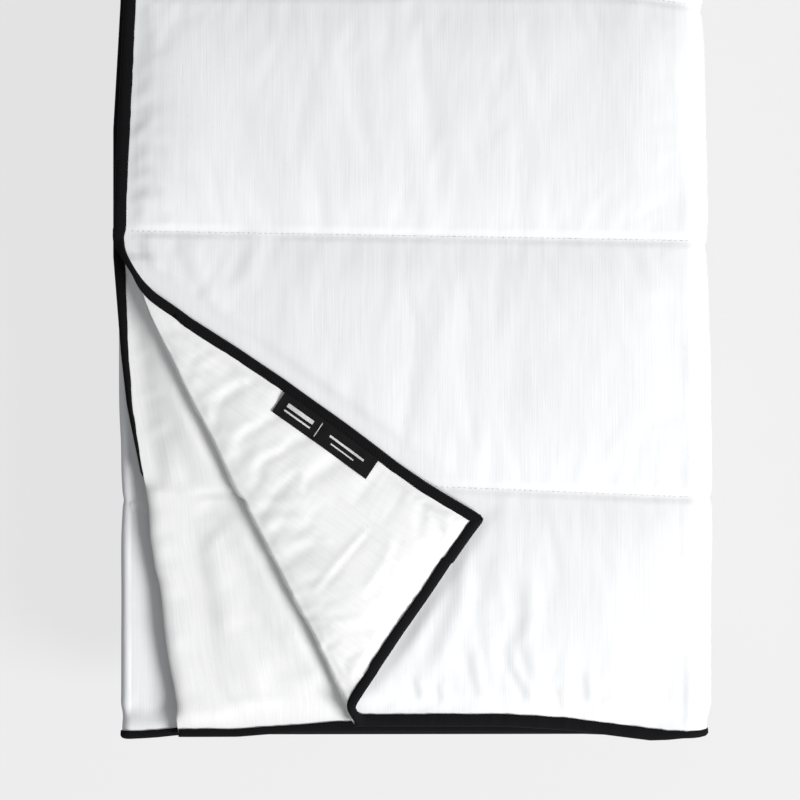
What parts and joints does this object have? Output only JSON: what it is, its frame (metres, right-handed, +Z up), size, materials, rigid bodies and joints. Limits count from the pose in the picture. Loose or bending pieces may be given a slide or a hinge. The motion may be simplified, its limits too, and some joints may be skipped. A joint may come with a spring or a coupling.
{
  "type": "quilted blanket",
  "caption": "White quilted blanket with black edge binding and a woven label, folded into a bundle with one corner turned back.",
  "frame": {"origin": "on the floor under the middle of the folded bundle", "axes": "+X to the right across the bundle, +Y along the runs from the free end to the far folds, +Z up"},
  "size_m": [0.3412, 0.5092, 0.129],
  "materials": {
    "face_fabric": "matt ribbed polyester",
    "back_fabric": "matt ribbed polyester",
    "fill": "loose fibre wadding",
    "binding": "black woven tape",
    "thread": "sewing thread",
    "label": "woven label"
  },
  "bodies": {
    "bottom_run": {"bottom_back": "back_fabric", "bottom_end_binding": "binding", "bottom_face": "face_fabric", "bottom_fill": "fill", "bottom_long_binding_a": "binding", "bottom_long_binding_b": "binding", "bottom_quilt_thread_1": "thread", "bottom_quilt_thread_2": "thread", "bottom_quilt_thread_3": "thread", "lower_far_fold_back": "back_fabric", "lower_far_fold_binding_a": "binding", "lower_far_fold_binding_b": "binding", "lower_far_fold_face": "face_fabric", "lower_far_fold_fill": "fill"},
    "third_run": {"near_fold_back": "back_fabric", "near_fold_binding_a": "binding", "near_fold_binding_b": "binding", "near_fold_face": "face_fabric", "near_fold_fill": "fill", "third_back": "back_fabric", "third_face": "face_fabric", "third_fill": "fill", "third_long_binding_a": "binding", "third_long_binding_b": "binding", "third_quilt_thread_1": "thread", "third_quilt_thread_2": "thread", "third_quilt_thread_3": "thread"},
    "second_run": {"second_back": "back_fabric", "second_face": "face_fabric", "second_fill": "fill", "second_long_binding_a": "binding", "second_long_binding_b": "binding", "second_quilt_thread_1": "thread", "second_quilt_thread_2": "thread", "second_quilt_thread_3": "thread", "upper_far_fold_back": "back_fabric", "upper_far_fold_binding_a": "binding", "upper_far_fold_binding_b": "binding", "upper_far_fold_face": "face_fabric", "upper_far_fold_fill": "fill"},
    "top_run": {"corner_bend_back": "back_fabric", "corner_bend_face": "face_fabric", "corner_bend_fill": "fill", "top_back": "back_fabric", "top_end_binding": "binding", "top_face": "face_fabric", "top_fill": "fill", "top_long_binding_a": "binding", "top_long_binding_b": "binding", "top_quilt_thread_1": "thread", "top_quilt_thread_2": "thread", "top_quilt_thread_3": "thread"},
    "turned_corner": {"corner_back": "back_fabric", "corner_end_binding": "binding", "corner_face": "face_fabric", "corner_fill": "fill", "corner_long_binding": "binding", "woven_label": "label"}
  },
  "joints": [
    {"name": "lower_far_fold_turn", "type": "hinge", "parent": "bottom_run", "child": "third_run", "pos_m": [0, 0.23595, 0.03015], "axis": [-1, 0, 0], "range_deg": [0, 176], "deforming": ["lower_far_fold_back", "lower_far_fold_binding_a", "lower_far_fold_binding_b", "lower_far_fold_face", "lower_far_fold_fill"]},
    {"name": "near_fold_turn", "type": "hinge", "parent": "third_run", "child": "second_run", "pos_m": [0, -0.2358, 0.06075], "axis": [1, 0, 0], "range_deg": [0, 180], "deforming": ["near_fold_back", "near_fold_binding_a", "near_fold_binding_b", "near_fold_face", "near_fold_fill"]},
    {"name": "upper_far_fold_turn", "type": "hinge", "parent": "second_run", "child": "top_run", "pos_m": [0, 0.23595, 0.09135], "axis": [-1, 0, 0], "range_deg": [0, 180], "deforming": ["upper_far_fold_back", "upper_far_fold_binding_a", "upper_far_fold_binding_b", "upper_far_fold_face", "upper_far_fold_fill"]},
    {"name": "corner_turn", "type": "hinge", "parent": "top_run", "child": "turned_corner", "pos_m": [-0.06253, -0.19714, 0.1218], "axis": [0.4695, -0.8829, 0], "range_deg": [0, 180], "deforming": ["corner_bend_back", "corner_bend_face", "corner_bend_fill"]}
  ]
}
